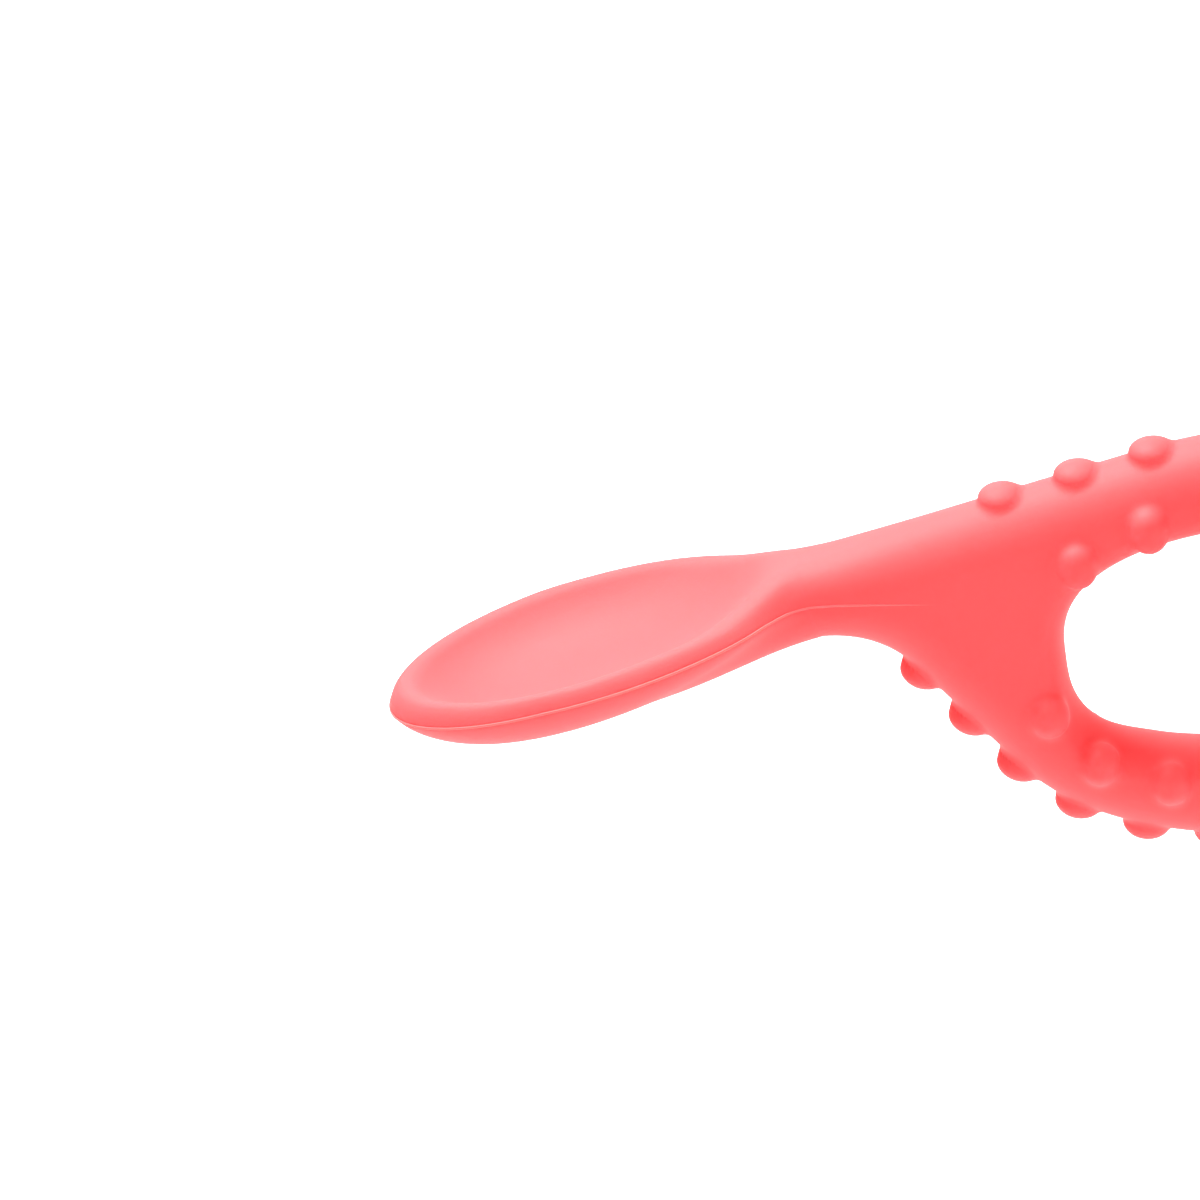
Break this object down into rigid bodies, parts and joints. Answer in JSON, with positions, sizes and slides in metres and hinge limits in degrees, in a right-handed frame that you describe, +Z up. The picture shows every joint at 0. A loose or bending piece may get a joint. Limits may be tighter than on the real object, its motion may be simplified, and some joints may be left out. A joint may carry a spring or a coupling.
{
  "type": "training spoon",
  "caption": "Soft silicone training spoon with a shallow oval bowl, a thick neck and an upright finger loop studded with round teething nubs.",
  "frame": {"origin": "middle of the flat sole under the bowl", "axes": "+X from the bowl to the finger loop, +Z up out of the bowl with the rim about level, Y across the bowl"},
  "size_m": [0.1318, 0.0292, 0.0553],
  "materials": {
    "silicone": "matte coral silicone",
    "nylon": "plain moulded nylon"
  },
  "bodies": {
    "root": {"bowl": "silicone", "handle_loop": "silicone", "stiffener_core": "nylon", "nub_ridge_01": "silicone", "nub_ridge_02": "silicone", "nub_ridge_03": "silicone", "nub_ridge_04": "silicone", "nub_ridge_05": "silicone", "nub_ridge_06": "silicone", "nub_ridge_07": "silicone", "nub_ridge_08": "silicone", "nub_ridge_09": "silicone", "nub_ridge_10": "silicone", "nub_ridge_11": "silicone", "nub_ridge_12": "silicone", "nub_ridge_13": "silicone", "nub_ridge_14": "silicone", "nub_ridge_15": "silicone", "nub_ridge_16": "silicone", "nub_ridge_17": "silicone", "nub_ridge_18": "silicone", "nub_ridge_19": "silicone", "nub_ridge_20": "silicone", "nub_ridge_21": "silicone", "nub_ridge_22": "silicone", "nub_front_01": "silicone", "nub_front_02": "silicone", "nub_front_03": "silicone", "nub_front_04": "silicone", "nub_front_05": "silicone", "nub_front_06": "silicone", "nub_front_07": "silicone", "nub_front_08": "silicone", "nub_front_09": "silicone", "nub_front_10": "silicone", "nub_front_11": "silicone", "nub_front_12": "silicone", "nub_front_13": "silicone", "nub_front_14": "silicone", "nub_front_15": "silicone", "nub_front_16": "silicone", "nub_back_01": "silicone", "nub_back_02": "silicone", "nub_back_03": "silicone", "nub_back_04": "silicone", "nub_back_05": "silicone", "nub_back_06": "silicone", "nub_back_07": "silicone", "nub_back_08": "silicone", "nub_back_09": "silicone", "nub_back_10": "silicone", "nub_back_11": "silicone", "nub_back_12": "silicone", "nub_back_13": "silicone", "nub_back_14": "silicone", "nub_back_15": "silicone", "nub_back_16": "silicone"}
  },
  "joints": []
}
